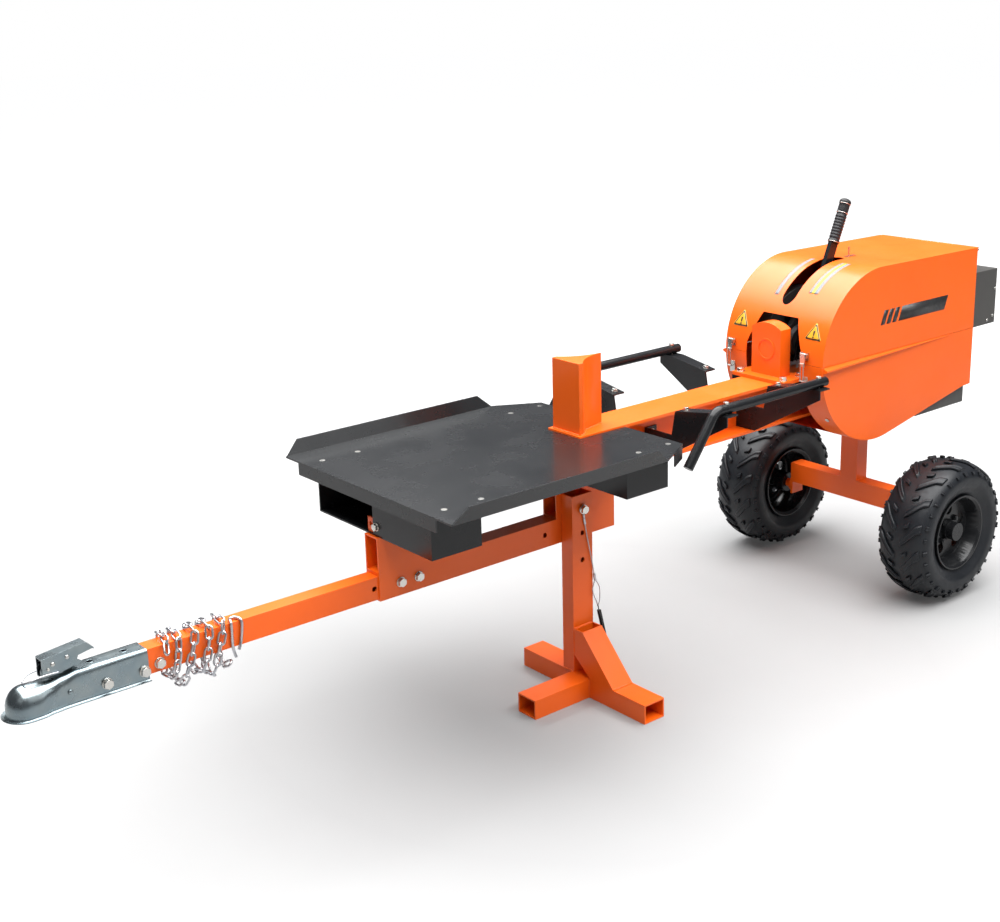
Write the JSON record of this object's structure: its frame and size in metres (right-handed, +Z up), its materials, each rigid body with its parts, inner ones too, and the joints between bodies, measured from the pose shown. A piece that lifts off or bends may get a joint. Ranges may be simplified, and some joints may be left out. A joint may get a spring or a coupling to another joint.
{
  "type": "log splitter",
  "caption": "Wheeled kinetic log splitter: flywheel housing with a rack-driven ram on a long beam, fixed wedge, side table, log cradle, folding stand and tow coupler.",
  "frame": {"origin": "on the ground, at the middle of the machine's length and width", "axes": "+X from the tow coupler towards the flywheel housing, +Y to the far side, +Z up"},
  "size_m": [3.04, 0.77, 1.1225],
  "materials": {
    "orange_paint": "gloss",
    "black_paint": "gloss",
    "grey_paint": "satin",
    "zinc": "satin",
    "bolt_steel": "satin",
    "machined_steel": "brushed",
    "cast_iron": "satin",
    "aluminium": "satin",
    "tyre_rubber": "matte",
    "black_rubber": "matte",
    "black_plastic": "matte"
  },
  "bodies": {
    "frame": {"coupler_body": "zinc", "coupler_latch_bracket": "zinc", "coupler_bolts": "bolt_steel", "tongue_tube": "orange_paint", "safety_chain": "zinc", "receiver_tube": "orange_paint", "risers": "orange_paint", "frame_bolts": "bolt_steel", "main_beam": "orange_paint", "wedge": "orange_paint", "work_table": "black_paint", "table_screws": "bolt_steel", "front_brackets": "black_paint", "rear_brackets": "black_paint", "cradle_rails": "black_paint", "cradle_arms": "black_paint", "axle_beam": "orange_paint", "axle_post": "orange_paint", "lower_housing": "orange_paint", "rear_panel": "orange_paint", "hinge_pin": "bolt_steel", "housing_screws": "bolt_steel", "rack_cover": "orange_paint", "latch_keepers": "bolt_steel", "bearing_blocks": "cast_iron", "drive_belt": "black_rubber", "drive_motor": "aluminium", "motor_mount": "black_paint", "battery_tray": "grey_paint", "battery": "black_plastic", "power_box": "grey_paint", "lever_bracket": "black_paint", "stand_bolt": "bolt_steel"},
    "stand": {"stand_post": "orange_paint", "stand_base": "orange_paint", "cable_fittings": "zinc", "stand_cable": "bolt_steel", "stand_spring": "black_paint"},
    "wheel_near": {"tyre_near": "tyre_rubber", "rim_near": "black_paint", "hub_near": "black_paint"},
    "wheel_far": {"tyre_far": "tyre_rubber", "rim_far": "black_paint", "hub_far": "black_paint"},
    "ram": {"ram_head": "orange_paint", "ram_keepers": "black_paint", "ram_bolts": "bolt_steel", "rack": "machined_steel"},
    "flywheels": {"flywheel_shaft": "machined_steel", "flywheel_near": "cast_iron", "flywheel_far": "cast_iron", "driven_pulley": "cast_iron"},
    "motor_rotor": {"motor_pulley": "machined_steel"},
    "lever": {"control_lever": "black_paint", "lever_grip": "black_rubber"},
    "hood": {"hood": "orange_paint", "hood_fittings": "bolt_steel"},
    "latch_near": {"draw_latch_near": "bolt_steel"},
    "latch_far": {"draw_latch_far": "bolt_steel"},
    "coupler_latch": {"coupler_latch": "zinc"}
  },
  "joints": [
    {"name": "wheel_near_spin", "type": "hinge", "parent": "frame", "child": "wheel_near", "pos_m": [1.08, -0.306, 0.203], "axis": [0, 1, 0], "continuous": true},
    {"name": "wheel_far_spin", "type": "hinge", "parent": "frame", "child": "wheel_far", "pos_m": [1.08, 0.306, 0.203], "axis": [0, 1, 0], "continuous": true},
    {"name": "ram_slide", "type": "slide", "parent": "frame", "child": "ram", "axis": [-1, 0, 0], "range_m": [0, 0.555]},
    {"name": "flywheel_spin", "type": "hinge", "parent": "frame", "child": "flywheels", "pos_m": [0.905, 0, 0.714], "axis": [0, 1, 0], "continuous": true},
    {"name": "motor_spin", "type": "hinge", "parent": "frame", "child": "motor_rotor", "pos_m": [1.262, 0.124, 0.835], "axis": [0, 1, 0], "continuous": true},
    {"name": "lever_swing", "type": "hinge", "parent": "frame", "child": "lever", "pos_m": [0.855, 0, 0.79], "axis": [0, 1, 0], "range_deg": [-60, 0], "stiffness_Nm_per_rad": 2, "springref_deg": 28.65},
    {"name": "hood_open", "type": "hinge", "parent": "frame", "child": "hood", "pos_m": [1.401, 0, 0.944], "axis": [0, 1, 0], "range_deg": [0, 60]},
    {"name": "latch_near_open", "type": "hinge", "parent": "hood", "child": "latch_near", "pos_m": [0.6965, -0.113, 0.742], "axis": [0, 1, 0], "range_deg": [0, 100]},
    {"name": "latch_far_open", "type": "hinge", "parent": "hood", "child": "latch_far", "pos_m": [0.6965, 0.148, 0.742], "axis": [0, 1, 0], "range_deg": [0, 100]},
    {"name": "stand_fold", "type": "hinge", "parent": "frame", "child": "stand", "pos_m": [-0.073, -0.04585, 0.478], "axis": [0, 1, 0], "range_deg": [-85, 0]},
    {"name": "coupler_latch_lift", "type": "hinge", "parent": "frame", "child": "coupler_latch", "pos_m": [-1.425, 0, 0.466], "axis": [0, 1, 0], "range_deg": [-35, 0]}
  ],
  "couplings": [
    {"joint": "motor_spin", "follows": "flywheel_spin", "ratio": 3.439}
  ]
}
